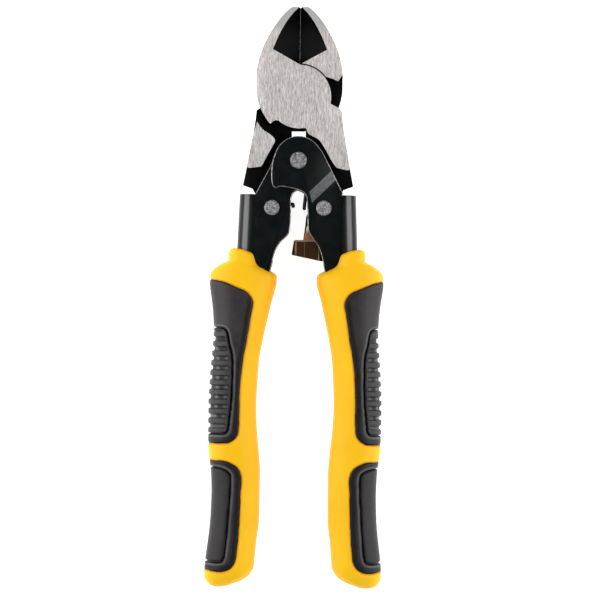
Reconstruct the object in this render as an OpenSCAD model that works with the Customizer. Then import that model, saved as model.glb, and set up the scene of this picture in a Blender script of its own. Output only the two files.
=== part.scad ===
// Compound-action diagonal cutting pliers, lying flat.
// X runs across the tool, Y along it towards the jaw tip, Z up through its thickness.
// The origin is under the middle of the tool, on the surface that it lies on.

/* [Tool] */
// Length from the jaw tip to the grip ends
tool_len = 208.5; // [208:0.5:209]
// Half of the thickness over the grips and the hub rivet
half_thick = 9.5; // [9.4:0.1:9.8]
// Half of the head's greatest width
head_half = 15.5; // [15.4:0.1:15.7]

/* [Linkage] */
// Height of the jaw pivot on the centre line
jaw_y = 72.1; // [72:0.1:72.2]
// Height of the hub pivot that joins the handles
hub_y = 49.2; // [49:0.1:49.4]
// Distance of each link pivot from the centre line
link_x = 9.3; // [9.2:0.1:9.4]
// Height of the two link pivots
link_y = 32.2; // [32:0.1:32.4]

/* [Jaws] */
// Radius of the lap joint's disc
disc_r = 11.4; // [11.2:0.1:11.5]
// Half of the jaw thickness
jaw_t = 6; // [5.8:0.1:6.2]
// Half of the thickness of the tails between the handle plates
tail_t = 2.2; // [2:0.1:2.3]
// Gap between the two cutting edges
edge_gap = 0.3; // [0.2:0.1:0.4]

/* [Handles] */
// Thickness of the pressed steel sheet
sheet = 1.9; // [1.7:0.1:1.9]
// Half of the space between a channel's plates
channel_in = 3.5; // [3.4:0.1:3.6]
// Thickness of the latch and washer sheet
thin_sheet = 0.7; // [0.6:0.1:0.7]
// Swing of the latch to its catch pin, in degrees
latch_swing = 32; // [30:1:32]

/* [Rivets] */
// Shank radius of the hub rivet
hub_pin_r = 2.5; // [2.4:0.1:2.6]
// Shank radius of the link rivets
link_pin_r = 2; // [1.9:0.1:2.1]
// Radius of the jaw pivot pin
jaw_pin_r = 3; // [2.9:0.1:3.1]
// Head radius of the hub rivet
hub_head_r = 3; // [2.9:0.1:3.1]
// Head radius of the link rivets
link_head_r = 2.75; // [2.6:0.05:2.9]

/* [Spring] */
// Diameter of the spring wire
wire_d = 1.3; // [1.1:0.1:1.4]
// Mean radius of the coil
coil_r = 4.2; // [4.1:0.1:4.3]

/* [Grips] */
// Depth of the rubber pads in the grip
pad_depth = 2; // [1.6:0.1:2.2]
// Depth of the inset panels in the pads
panel_depth = 1; // [0.8:0.1:1.2]

/* [Hidden] */
$fn = 64;

tip_y = tool_len / 2;
run = 0.06;                      // radial running fit of the pivots
lap = edge_gap / 2;              // each lap face stands this far from the mid-plane
open_fit = 0.22;                 // extra radius where the closed linkage is opened
hub_in = channel_in + sheet + 0.2;   // underside of the right handle's raised hub plates
hub_out = hub_in + sheet;
seat_r = disc_r + 0.5;           // round seat beside the disc
web_r = disc_r + 4.2;            // the tail web keeps this far from the jaw pivot
latch_z = tail_t + 0.3;          // inner face of the latch and washers
spine_x = 20.9;                  // outer face of a channel at its top
spine_top = 37;
spine_lean = 2.2;                // lean of each leg, in degrees
tang_end = -60;                  // lower end of the steel inside the grip
coil_half = 2.8;                 // half of the coil's length on the sleeve
spring_feet = [[-1.7, 33.4], [2.5, 32.6]];   // places where the spring legs turn up
catch_at = [-5.6, 25];           // catch pin in the left channel
stop_at = [-13.8, 28.2];         // stop pin in the left channel
small_pin_r = 1;
hook_r = norm([link_x, link_y] - catch_at);
hook_a = atan2(link_x - catch_at[0], link_y - catch_at[1]) - latch_swing;
oval = 2.5;                      // how square the grip section is; 2 is an ellipse
pad_gap = 0.14;                  // glue line under the pads
panel_gap = 0.1;                 // glue line under the panels
side_gap = 1;                    // gap at the sides of pads and panels, in degrees round the section

STEEL = "silver";
BLACK = [0.09, 0.09, 0.1];
YELLOW = [1, 0.76, 0.1];
RUBBER = [0.22, 0.21, 0.22];

// Points of a cubic curve from p[0] to p[3], without its last point
function curve(p, n) = [for (i = [0 : n - 1]) let (t = i / n, s = 1 - t)
    s * s * s * p[0] + 3 * s * s * t * p[1] + 3 * s * t * t * p[2] + t * t * t * p[3]];
// Points of an arc about c
function arc(c, r, from, to, n) = [for (i = [0 : n]) let (a = from + (to - from) * i / n)
    [c[0] + r * cos(a), c[1] + r * sin(a)]];
function flip(points) = [for (p = points) [-p[0], p[1]]];

// Everything is drawn about the tool's mid-plane and raised on to the surface
module mid() {
    translate([0, 0, half_thick])
        children();
}

// A flat plate between two heights
module slab(points, low, high) {
    translate([0, 0, low])
        linear_extrude(high - low)
            polygon(points);
}

// The same plate on both sides of the mid-plane
module twin(points, low, high) {
    slab(points, low, high);
    slab(points, -high, -low);
}

// A round bar through the tool at a place in plan
module bar(at, r, low, high) {
    translate([at[0], at[1], low])
        cylinder(r = r, h = high - low);
}

// ---- Jaws: drawn as the front jaw, whose head is on the left and tail on the right ----

head_side = concat(
    [[-lap, tip_y]],
    curve([[-3, tip_y], [-7.5, tip_y - 3], [-head_half, 89.5], [-head_half, 79]], 14),
    [[-head_half, 79]]);
tail_side = [[15.3, 67.3], [15.8, 62.4], [16.7, 56.8], [17.6, 51.8], [18.6, 46.3]];
pad_inner = [[17.5, 45.9], [14.3, 46.6], [13.4, 47.1], [11.8, 49.2], [10.3, 52.1], [8.5, 55],
             [7.1, 56.8], [4.9, 58], [3.4, 58.9], [2.8, 60.3]];
boss_shape = [[15, 62.9], [14.3, 61.8], [12.8, 60], [11, 58.9], [9.2, 57.5], [8.5, 56.1],
              [9.5, 53.9], [10.9, 51.4], [12.3, 48.7], [13.2, 47.1], [14.6, 46.7], [18.6, 46.5],
              [17.6, 51.8], [16.7, 56.8]];

// Front layer: disc, lower left corner of the head, and the ground face of the tail
module front_layer() {
    bar([0, jaw_y], disc_r, lap, jaw_t);
    slab(concat(head_side,
                curve([[-head_half, 74.8], [-15.3, 70.2], [-13.4, 66], [-10.4, 62.2]], 6),
                curve([[-10.4, 62.2], [-8, 65], [-5, 62.3], [-1.7, 61.3]], 6),
                [[0, 61], [0, jaw_y], [-lap, 83.6]]),
         lap, jaw_t);
    slab(concat([[11, 69.8], [13.7, 68.4]], tail_side, pad_inner, [[1.9, 61.1], [0, 66]]),
         lap, jaw_t);
}

// Full-thickness head above the seat of the other jaw's disc
module head_block() {
    difference() {
        slab(concat(head_side, [[0.1 - head_half, 80.2], [-13.8, 77.8], [-11.7, 78.7], [-9, 79.5],
                                [-6, 76], [-lap, 76]]),
             -jaw_t, lap);
        bar([0, jaw_y], seat_r, -jaw_t - 1, lap);
    }
}

// Tail between the handle plates, with the eye for the link rivet
module tail_web() {
    difference() {
        slab(concat([[15.3, 65.5]], tail_side,
                    [[19.8, 40.2], [16.4, 39]],
                    arc([link_x, link_y], 4.6, 20, -200, 20),
                    arc([0, hub_y], 6.2, -28, 62, 10),
                    [[2.5, 57], [2.5, 60.4], [8, 66]]),
             -tail_t, tail_t);
        bar([0, jaw_y], web_r, -tail_t - 1, lap);
    }
}

// Ground-out hollow in front of the cutting edge, down to the mid-plane at the edge
module bevel() {
    rim = concat([[0, tip_y + 0.1]],
                 curve([[-0.3, tip_y + 0.1], [-4.6, 100.6], [-7.7, 94.6], [-9.7, 89]], 8),
                 [[-9.7, 89], [0, 83.6]]);
    intersection() {
        slab(concat(rim, [[1, 83.6], [1, tip_y + 0.1]]), 0, jaw_t + 1);
        translate([0, 110, 0])
            rotate([90, 0, 0])
                linear_extrude(40)
                    polygon([[-9.7, jaw_t + 0.1], [1, jaw_t + 0.1], [1, 0.35], [-0.1, 0.35]]);
    }
}

module jaw(pin_hole) {
    difference() {
        union() {
            front_layer();
            head_block();
            tail_web();
            slab(boss_shape, -jaw_t, -tail_t);
        }
        bevel();
        mirror([0, 0, 1])
            bevel();
        bar([0, jaw_y], pin_hole, -jaw_t - 1, jaw_t + 1);
        bar([link_x, link_y], link_pin_r + run, -jaw_t, jaw_t);
    }
}

module front_jaw() {
    color(STEEL)
        mid()
            jaw(jaw_pin_r);
}

module rear_jaw() {
    color([0.7, 0.7, 0.72])
        mid()
            rotate([0, 180, 0])
                jaw(jaw_pin_r + open_fit);
}

module jaw_rivet() {
    color("gray")
        mid()
            bar([0, jaw_y], jaw_pin_r, -jaw_t, jaw_t);
}

// ---- Handle channels: drawn on the right side ----

// Inner edges of the left and right legs, from the arch down into the grips
left_inner = [[2.4, 35.9], [2.5, 31], [2.75, 26], [3.1, 23.2], [4.3, 21.6], [5.75, 20.1], [7.15, 17.9],
              [8.05, 15.7], [8.5, 13.6], [8.9, 11.4], [9.7, 7], [13, -5], [15.8, -30], [17.5, tang_end]];
right_inner = [[3.5, 34.5], [4, 29.8], [4.25, 26.2], [4.6, 24.4], [5.3, 21.5], [6.5, 19.7], [8, 17.5],
               [9.1, 15.4], [9.8, 13.2], [10.6, 10], [11.3, 7], [14, -5], [16, -30], [17.5, tang_end]];

// Round back of the channel, leaning with the leg
module spine() {
    translate([spine_x - channel_in - sheet, spine_top, 0])
        rotate([90, 0, spine_lean])
            linear_extrude(spine_top - tang_end)
                difference() {
                    circle(channel_in + sheet);
                    circle(channel_in);
                    translate([-20, -10])
                        square(20);
                }
}

// Lower plates of a channel, from above the link rivet down into the grip
module leg_plates(top, inner) {
    lean_x = (spine_top - tang_end) * tan(spine_lean);
    back = spine_x - channel_in - sheet;
    twin(concat(top, inner, [[back + lean_x, tang_end], [back, spine_top]]),
         channel_in, channel_in + sheet);
}

module left_channel() {
    top = concat([[15, 37.6], [12.7, 42], [10.6, 46], [8.7, 50]],
                 arc([0, hub_y], 8.2, 35, 215, 24),
                 [[-4.2, 42.2], [-0.4, 38.6], [1.7, 37.4]]);
    color(BLACK)
        mid()
            difference() {
                mirror([1, 0, 0])
                    union() {
                        leg_plates(top, left_inner);
                        spine();
                    }
                bar([0, hub_y], hub_pin_r + run, -10, 10);
                bar([-link_x, link_y], link_pin_r, -10, 10);
                bar(stop_at, small_pin_r, -10, 10);
                bar(catch_at, small_pin_r, -10, 0);
            }
}

// Line of the joggle that lifts the right handle's plates over the left ones
joggle = [[2.6, 37.7], [3.5, 33.9], [14.2, 41.5], [12.4, 44.9]];

module right_channel() {
    color([0.13, 0.13, 0.14])
        mid()
            difference() {
                union() {
                    leg_plates([[16.2, 37.6], [14.2, 41.5], [3.5, 34.6]], right_inner);
                    spine();
                    twin(joggle, channel_in, hub_out);
                    twin(concat([[12.7, 44.3], [10.6, 48.5], [8.8, 52.1]],
                                arc([0, hub_y], 8.7, 35, 160, 20),
                                [[-9.3, 47], [-9.5, 43], [-9.1, 40], [-8, 38.9], [-6.4, 39.6],
                                 [-0.6, 38.8], [1.2, 38.3], [2.6, 37.3], [3, 36.5]]),
                         hub_in, hub_out);
                }
                bar([0, hub_y], hub_pin_r + run, -10, 10);
                bar([link_x, link_y], link_pin_r, -10, 10);
            }
}

// ---- Rivets, pins, spacers and spring ----

// Domed rivet head standing on a face, with a flat crown
module rivet_head(r, tall) {
    rotate_extrude()
        polygon([[0, 0], [r, 0], [r, tall * 0.45], [r * 0.93, tall * 0.8], [r * 0.78, tall],
                 [0, tall]]);
}

module rivet(at, shank, head, face, tall) {
    bar(at, shank, -face, face);
    for (side = [0, 1])
        mirror([0, 0, side])
            translate([at[0], at[1], face])
                rivet_head(head, tall);
}

module hub_rivet() {
    color("gray")
        mid()
            rivet([0, hub_y], hub_pin_r, hub_head_r, hub_out + 0.1, half_thick - hub_out - 0.1);
}

module left_link_rivet() {
    color("gray")
        mid()
            rivet([-link_x, link_y], link_pin_r, link_head_r, channel_in + sheet, 1.3);
}

module right_link_rivet() {
    color("gray")
        mid()
            rivet([link_x, link_y], link_pin_r, link_head_r, channel_in + sheet, 1.3);
}

module spring_sleeve() {
    color("dimgray")
        mid()
            difference() {
                bar([0, hub_y], 3.2, 0.1 - channel_in, channel_in - 0.1);
                bar([0, hub_y], hub_pin_r, -channel_in, channel_in);
            }
}

module left_link_washers() {
    color("dimgray")
        mid()
            for (low = [latch_z, -latch_z - thin_sheet])
                difference() {
                    bar([-link_x, link_y], 4.2, low, low + thin_sheet);
                    bar([-link_x, link_y], link_pin_r, low - 1, low + 2);
                }
}

// One straight leg of the spring from the coil, with its end turned up over the plates
module spring_leg(side, foot, z) {
    top = [side * coil_r, hub_y];
    lean = atan2(foot[0] - top[0], top[1] - foot[1]);
    translate([top[0], top[1], z])
        rotate([90, 0, lean])
            cylinder(d = wire_d, h = norm(top - foot));
    translate([foot[0], foot[1], z - wire_d / 2])
        cylinder(d = wire_d, h = channel_in + sheet - z + wire_d / 2);
}

module return_spring() {
    color("dimgray")
        mid() {
            difference() {
                bar([0, hub_y], coil_r + wire_d / 2, -coil_half, coil_half);
                bar([0, hub_y], coil_r - wire_d / 2, -channel_in, channel_in);
            }
            spring_leg(-1, spring_feet[0], wire_d / 2 - coil_half);
            spring_leg(1, spring_feet[1], coil_half - wire_d / 2);
        }
}

// ---- Latch: a folded sheet on the right link rivet ----

arm_shape = concat(
    arc([link_x, link_y], 4.2, -10, 200, 18),
    [[4.4, 28.4], [3.1, 24.4], [2.3, 20.7], [-1.2, 20.6]],
    curve([[-1.2, 20.6], [-1.8, 20.5], [-2, 20.2], [-2, 19.6]], 3),
    [[-2, 14.2], [-1.7, 13.8], [9.2, 12.8], [9.5, 15], [8.6, 18.2], [8.4, 22], [12.6, 28.5]]);

module lock_latch() {
    color([0.62, 0.45, 0.2])
        mid()
            difference() {
                union() {
                    twin(arm_shape, latch_z, latch_z + thin_sheet);
                    slab([[8.5, 12.9], [9.2, 12.8], [9.5, 15], [9.1, 16.8], [8.5, 16.8]],
                         -latch_z - 0.1, latch_z + 0.1);
                }
                bar([link_x, link_y], link_pin_r + run, -5, 5);
                hook_slot();
            }
}

// Curved slot in the rear plate that takes the catch pin; it follows the latch's own swing
module hook_slot() {
    wide = small_pin_r + 0.35;
    at = [link_x, link_y];
    slot = concat(arc(at, hook_r + wide, 270 - hook_a, 270 - hook_a - 25, 8),
                  arc(at, hook_r - wide, 270 - hook_a - 25, 270 - hook_a, 8));
    slab(slot, -latch_z - thin_sheet - 1, -latch_z + 1);
    bar(at + hook_r * [-sin(hook_a), -cos(hook_a)], wide, -latch_z - thin_sheet - 1, -latch_z + 1);
}

module catch_pin() {
    color("gray")
        mid()
            bar(catch_at, small_pin_r, -channel_in - sheet, -1.6);
}

module stop_pin() {
    color("gray")
        mid()
            bar(stop_at, small_pin_r, -channel_in - sheet, channel_in + sheet);
}

// ---- Grips: lofted sections; each ring is a rounded oval across the leg ----

// Height, outer face and inner face from the centre line, half thickness
stations = [
    [17.5, 23.2, 21.5, 6.6], [17.2, 24, 19.5, 7.3], [16.6, 24.5, 17.2, 7.8], [15.6, 24.7, 15.2, 8.1],
    [13, 24.9, 14.3, 8.4], [12.3, 25.8, 14, 8.5], [11.7, 28.4, 13.2, 8.6], [10.6, 29.8, 11.4, 8.8],
    [9.4, 30.5, 9, 9], [8.4, 30.8, 7.5, 9.2], [6.4, 31.1, 7.1, 9.4], [3, 31.1, 7.7, 9.7],
    [-2, 30.4, 9, 9.8], [-8, 29.8, 10.3, 9.8], [-16, 29.8, 12, 9.8], [-22, 30.3, 13, 9.8],
    [-31, 30.9, 13.6, 9.8], [-38, 31.2, 13.9, 9.8], [-51, 31.1, 13.2, 9.8], [-57, 30.7, 12.6, 9.8],
    [-63, 30.1, 12.2, 9.8], [-71, 29.8, 12.2, 9.8], [-80, 30.1, 12.3, 9.8], [-88, 30.9, 13.2, 9.8],
    [-94, 31.6, 13.7, 9.8], [-97, 31.8, 14, 9.6], [-98.7, 31.9, 14.8, 9.3], [-100.9, 31.7, 16.8, 8.6],
    [-102.2, 31.1, 18.9, 7.9], [-103.05, 30.4, 21.3, 6.8], [-103.6, 29.8, 22.6, 5.5],
    [-104, 28.9, 23.8, 4.2], [-tool_len / 2, 27.6, 25.2, 2.4]];
// Height and edge of the upper pad, measured from the centre line
upper_edge = [[6, 29], [5, 26], [3.5, 21.7], [1.7, 18.1], [0, 16.6], [-2.3, 15.9], [-8, 16.8],
              [-16, 18], [-22, 19.2], [-31, 20.1], [-50, 20.3], [-51.8, 21.4], [-52.6, 24.5]];
lower_edge = [[-58.6, 27], [-59.3, 23.6], [-61.8, 20], [-64.4, 19], [-71, 19.2], [-80, 19.5],
              [-90, 20], [-94, 20.5], [-97, 22], [-98.4, 25]];
rib_edge = [[-11.3, 27], [-12, 25.3], [-13.5, 24.6], [-21.5, 22.9], [-37, 23], [-47, 23.9],
            [-48.6, 24.8]];
palm_edge = [[-61.4, 28], [-62.6, 25.4], [-64.4, 23], [-71, 23.1], [-80, 23.6], [-92, 24.1],
             [-94, 25], [-95, 26.4]];

function column(rows, c) = [for (r = rows) [r[0], r[c]]];
outer_of = column(stations, 1);
inner_of = column(stations, 2);
thick_of = column(stations, 3);
function grip_mid(y) = (lookup(y, outer_of) + lookup(y, inner_of)) / 2;
function grip_half(y) = (lookup(y, outer_of) - lookup(y, inner_of)) / 2;
function power(v, p) = sign(v) * pow(abs(v), p);
// A point of the grip at height y and angle t, set in by a depth; t = 0 is the outer face
function grip_point(y, t, depth) = [
    -grip_mid(y) - (grip_half(y) - depth) * power(cos(t), 2 / oval),
    y,
    max(min((lookup(y, thick_of) - depth) * power(sin(t), 2 / oval), half_thick), -half_thick)];
// Angle at which the section reaches a distance from the centre line, kept off both ends
function edge_angle(y, edge) = min(168, max(12,
    acos(power(max(min((lookup(y, edge) - grip_mid(y)) / grip_half(y), 1), -1), oval / 2))));
function sweep(y, from, to, depth, n) = [for (i = [0 : n])
    grip_point(y, from + (to - from) * i / n, depth)];
// Rings at an edge table's heights, with more between them where they lie far apart
function heights(edge) = [for (i = [0 : len(edge) - 2])
    let (gap = edge[i][0] - edge[i + 1][0], n = ceil(gap / 5))
    for (k = [0 : n - 1]) edge[i][0] - gap * k / n];
function with_end(edge) = concat(heights(edge), [edge[len(edge) - 1][0]]);
function inside(y, edge) = y <= edge[0][0] && y >= edge[len(edge) - 1][0];

// Closed solid through rings that all have the same number of points
module loft(rings) {
    n = len(rings[0]);
    last = len(rings) - 1;
    sides = [for (r = [0 : last - 1], i = [0 : n - 1])
        let (a = r * n + i, b = r * n + (i + 1) % n)
        each [[a, b, a + n], [b, b + n, a + n]]];
    caps = [[for (i = [n - 1 : -1 : 0]) i], [for (i = [0 : n - 1]) last * n + i]];
    polyhedron([for (ring = rings) each ring], concat(sides, caps), convexity = 6);
}

// Ring of the yellow core, let in by the pads' depth between their edges
function core_ring(y, edge, depth) = let (t = edge_angle(y, edge))
    concat(sweep(y, -t, t, depth, 14), sweep(y, t + 0.4, 359.6 - t, 0, 14));

function core_rings(edge) = let (ys = with_end(edge), first = ys[0], end = ys[len(ys) - 1])
    concat([core_ring(first + 0.05, edge, 0)],
           [for (y = ys) core_ring(y, edge, pad_depth + pad_gap)],
           [core_ring(end - 0.05, edge, 0)]);

function plain_rings(high, low, edge) = [for (s = stations)
    if (s[0] < high && s[0] > low) core_ring(s[0], edge, 0)];

// Steel tang's room inside the grip
module tang_room(inner) {
    lean_x = (spine_top - tang_end) * tan(spine_lean);
    far = spine_x - channel_in - sheet;
    mirror([1, 0, 0]) {
        slab(concat(inner, [[far + lean_x, tang_end], [far, spine_top]]),
             -channel_in - sheet, channel_in + sheet);
        translate([far, spine_top, 0])
            rotate([90, 0, spine_lean])
                linear_extrude(spine_top - tang_end)
                    circle(channel_in + sheet);
    }
}

module grip_core(inner) {
    color(YELLOW)
        mid()
            difference() {
                loft(concat(plain_rings(20, 6.05, upper_edge),
                            core_rings(upper_edge),
                            plain_rings(-52.7, -58.5, lower_edge),
                            core_rings(lower_edge),
                            plain_rings(-98.45, -110, lower_edge)));
                tang_room(inner);
            }
}

// Rubber pad with a let-in for its panel
function pad_ring(y, edge, panel) =
    let (t = edge_angle(y, edge), flat = inside(y, panel),
         s = flat ? min(edge_angle(y, panel), t - 2) : t * 0.6,
         d = flat ? panel_depth : 0)
    concat(sweep(y, side_gap - t, -s - 0.3, 0, 3), sweep(y, -s, s, d, 10),
           sweep(y, s + 0.3, t - side_gap, 0, 3), sweep(y, t - side_gap, side_gap - t, pad_depth, 14));

module pad(edge, panel) {
    ends = [panel[0][0], panel[len(panel) - 1][0]];
    ys = concat([for (y = with_end(edge)) if (y > ends[0] + 0.1) y],
                [ends[0] + 0.05],
                with_end(panel),
                [ends[1] - 0.05],
                [for (y = with_end(edge)) if (y < ends[1] - 0.1) y]);
    color(RUBBER)
        mid()
            loft([for (y = ys) pad_ring(y, edge, panel)]);
}

// Inset panel; its ribs rise and fall along the grip
module panel(edge, rib) {
    color([0.16, 0.16, 0.17])
        mid()
            loft([for (y = with_end(edge))
                let (s = edge_angle(y, edge) - side_gap)
                concat(sweep(y, -s, s, rib, 10),
                       sweep(y, s, -s, panel_depth - panel_gap, 10))]);
}

module left_grip_core() {
    grip_core(left_inner);
}

module right_grip_core() {
    mirror([1, 0, 0])
        grip_core(right_inner);
}

module left_upper_pad() {
    pad(upper_edge, rib_edge);
}

module right_upper_pad() {
    mirror([1, 0, 0])
        pad(upper_edge, rib_edge);
}

module left_lower_pad() {
    pad(lower_edge, palm_edge);
}

module right_lower_pad() {
    mirror([1, 0, 0])
        pad(lower_edge, palm_edge);
}

module left_rib_panel() {
    panel(rib_edge, 0);
}

module right_rib_panel() {
    mirror([1, 0, 0])
        panel(rib_edge, 0);
}

module left_palm_panel() {
    panel(palm_edge, 0.15);
}

module right_palm_panel() {
    mirror([1, 0, 0])
        panel(palm_edge, 0.15);
}

front_jaw();
rear_jaw();
jaw_rivet();
left_channel();
right_channel();
hub_rivet();
spring_sleeve();
return_spring();
left_link_rivet();
right_link_rivet();
left_link_washers();
lock_latch();
catch_pin();
stop_pin();
left_grip_core();
right_grip_core();
left_upper_pad();
right_upper_pad();
left_lower_pad();
right_lower_pad();
left_rib_panel();
right_rib_panel();
left_palm_panel();
right_palm_panel();
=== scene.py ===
"""Compound-action cutting pliers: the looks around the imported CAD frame, in metres."""

import math

import bmesh
import bpy
import numpy as np
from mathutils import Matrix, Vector


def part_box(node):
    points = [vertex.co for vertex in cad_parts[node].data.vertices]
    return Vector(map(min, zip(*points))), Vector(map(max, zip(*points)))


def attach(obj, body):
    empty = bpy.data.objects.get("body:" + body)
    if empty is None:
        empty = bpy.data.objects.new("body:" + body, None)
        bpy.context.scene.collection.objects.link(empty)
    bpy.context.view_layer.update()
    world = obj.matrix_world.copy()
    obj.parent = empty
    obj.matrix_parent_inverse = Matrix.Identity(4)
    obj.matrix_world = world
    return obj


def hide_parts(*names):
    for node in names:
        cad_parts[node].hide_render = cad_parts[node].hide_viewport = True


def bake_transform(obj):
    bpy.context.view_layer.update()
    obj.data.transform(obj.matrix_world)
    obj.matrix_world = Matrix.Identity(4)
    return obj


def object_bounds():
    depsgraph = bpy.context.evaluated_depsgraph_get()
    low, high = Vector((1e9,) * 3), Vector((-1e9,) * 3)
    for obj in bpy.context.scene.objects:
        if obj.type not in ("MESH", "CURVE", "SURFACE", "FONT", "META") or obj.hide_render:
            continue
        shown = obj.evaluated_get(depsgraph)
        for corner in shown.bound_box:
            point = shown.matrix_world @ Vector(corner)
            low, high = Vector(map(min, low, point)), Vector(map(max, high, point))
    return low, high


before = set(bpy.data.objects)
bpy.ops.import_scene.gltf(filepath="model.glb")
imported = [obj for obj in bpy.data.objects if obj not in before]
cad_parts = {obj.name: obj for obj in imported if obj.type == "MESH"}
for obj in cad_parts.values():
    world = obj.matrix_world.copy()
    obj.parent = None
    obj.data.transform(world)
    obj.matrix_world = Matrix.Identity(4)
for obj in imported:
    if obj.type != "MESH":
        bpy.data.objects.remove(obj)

CAD_BOX = [list(map(float, corner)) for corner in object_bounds()]

MM = 0.001
MID = (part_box("hub_rivet")[0].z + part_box("hub_rivet")[1].z) / 2 / MM  # height of the mid-plane


def centre(node):
    """Plan centre of a CAD node, in millimetres."""
    low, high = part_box(node)
    return (low.x + high.x) / 2 / MM, (low.y + high.y) / 2 / MM


def half_size(node, axis):
    """Half of a CAD node's size along one axis, in millimetres."""
    low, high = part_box(node)
    return (high[axis] - low[axis]) / 2 / MM


HUB = centre("hub_rivet")
JAW = centre("jaw_rivet")
LINK = centre("right_link_rivet")
STOP = centre("stop_pin")
CATCH = centre("catch_pin")
TIP_Y = CAD_BOX[1][1] / MM
JAW_T = half_size("front_jaw", 2)
HEAD_HALF = -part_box("front_jaw")[0].x / MM
PLATE_OUT = half_size("left_channel", 2)
PLATE_IN = half_size("spring_sleeve", 2) + 0.1
HUB_OUT = half_size("right_channel", 2)
SPINE_TOP = 37.0  # upper end of the channels' round backs
SPINE_LEAN = math.tan(math.radians(2.2))  # the backs lean out towards the grips
SPINE_X = 20.9  # outermost line of a back at its upper end
BACK_X = SPINE_X - PLATE_OUT
SHEET_END = -12  # lower end of the channels, inside the grips
DISC_R = 11.4  # round part of the jaws' lap joint
LAP = 0.15  # lap faces, from the mid-plane
EDGE_X = 0.008  # cutting edges, from the centre line
HOLLOW_FOOT = 83.6  # lower end of the hollow beside the cutting edge
HOLLOW_KNEE = 89.0  # where the hollow is widest
HOLLOW_WIDE = 9.7
WIRE_R = 0.65


# ---- outlines

def bezier(p, n):
    """Points of a cubic curve, without its last point."""
    t = np.linspace(0, 1, n, endpoint=False)[:, None]
    p = np.array(p, float)
    pts = (1 - t) ** 3 * p[0] + 3 * (1 - t) ** 2 * t * p[1] + 3 * (1 - t) * t * t * p[2] + t ** 3 * p[3]
    return [tuple(q) for q in pts]


def arc(c, r, start, end, n):
    """Points of an arc about c, angles in degrees."""
    angles = np.radians(np.linspace(start, end, n + 1))
    return [(c[0] + r * math.cos(a), c[1] + r * math.sin(a)) for a in angles]


def spline(points, step=0.5):
    """A smooth curve through points, as points about a step apart."""
    p = np.array(points, float)
    p = np.vstack([2 * p[0] - p[1], p, 2 * p[-1] - p[-2]])
    out = []
    for a, b, c, d in zip(p[:-3], p[1:-2], p[2:-1], p[3:]):
        n = max(1, int(round(np.linalg.norm(c - b) / step)))
        for t in np.arange(n) / n:
            out.append(tuple(0.5 * (2 * b + (c - a) * t + (2 * a - 5 * b + 4 * c - d) * t * t
                                    + (3 * b - a - 3 * c + d) * t ** 3)))
    out.append(tuple(p[-2]))
    return out


def filleted(points, radius, n=5):
    """A closed outline with every corner rounded to about the radius."""
    p = [np.array(q, float) for q in points]
    out = []
    for i, q in enumerate(p):
        before, after = p[i - 1] - q, p[(i + 1) % len(p)] - q
        cut = min(radius, 0.45 * np.linalg.norm(before), 0.45 * np.linalg.norm(after))
        a = q + before / np.linalg.norm(before) * cut
        b = q + after / np.linalg.norm(after) * cut
        for t in np.linspace(0, 1, n):
            out.append(tuple((1 - t) ** 2 * a + 2 * (1 - t) * t * q + t * t * b))
    return out


# ---- mesh work

def prism(outline, low, high):
    """A closed plate in a new bmesh, in millimetres about the mid-plane."""
    bm = bmesh.new()
    clean = [outline[0]]
    for q in outline[1:]:
        if math.dist(q, clean[-1]) > 1e-4:
            clean.append(q)
    if math.dist(clean[0], clean[-1]) < 1e-4:
        clean.pop()
    area = sum(a[0] * b[1] - b[0] * a[1] for a, b in zip(clean, clean[1:] + clean[:1]))
    if area < 0:
        clean.reverse()
    bottom = [bm.verts.new((x, y, low)) for x, y in clean]
    top = [bm.verts.new((x, y, high)) for x, y in clean]
    bm.faces.new(bottom[::-1])
    bm.faces.new(top)
    bridge_rings(bm, [bottom, top])
    return bm


def lathe(profile, segments=48, at=(0, 0)):
    """A turned solid about a vertical axis, from points of radius and height."""
    bm = bmesh.new()
    rings = []
    for r, z in profile:
        if r < 1e-6:
            rings.append([bm.verts.new((at[0], at[1], z))])
        else:
            rings.append([bm.verts.new((at[0] + r * math.cos(a), at[1] + r * math.sin(a), z))
                          for a in np.linspace(0, 2 * math.pi, segments, endpoint=False)])
    for a, b in zip(rings, rings[1:]):
        for i in range(segments):
            j = (i + 1) % segments
            quad = [a[i % len(a)], a[j % len(a)], b[j % len(b)], b[i % len(b)]]
            quad = list(dict.fromkeys(quad))
            if len(quad) > 2:
                bm.faces.new(quad)
    bmesh.ops.recalc_face_normals(bm, faces=bm.faces)
    return bm


def bridge_rings(bm, rings):
    """Faces between neighbouring rings of equally many points."""
    n = len(rings[0])
    for a, b in zip(rings, rings[1:]):
        for i in range(n):
            j = (i + 1) % n
            bm.faces.new((a[i], a[j], b[j], b[i]))


def close_round(bm, rings):
    """Makes rings into a solid with one face at each end."""
    bridge_rings(bm, rings)
    bm.faces.new(rings[0][::-1])
    bm.faces.new(rings[-1])
    bmesh.ops.recalc_face_normals(bm, faces=bm.faces)
    return bm


def close_sheet(bm, rings):
    """Makes rings that run out along one side of a sheet and back along the other into a solid."""
    bridge_rings(bm, rings)
    for ring in (rings[0], rings[-1]):
        for k in range(len(ring) // 2 - 1):
            bm.faces.new((ring[k], ring[k + 1], ring[-2 - k], ring[-1 - k]))
    bmesh.ops.recalc_face_normals(bm, faces=bm.faces)
    return bm


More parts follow.
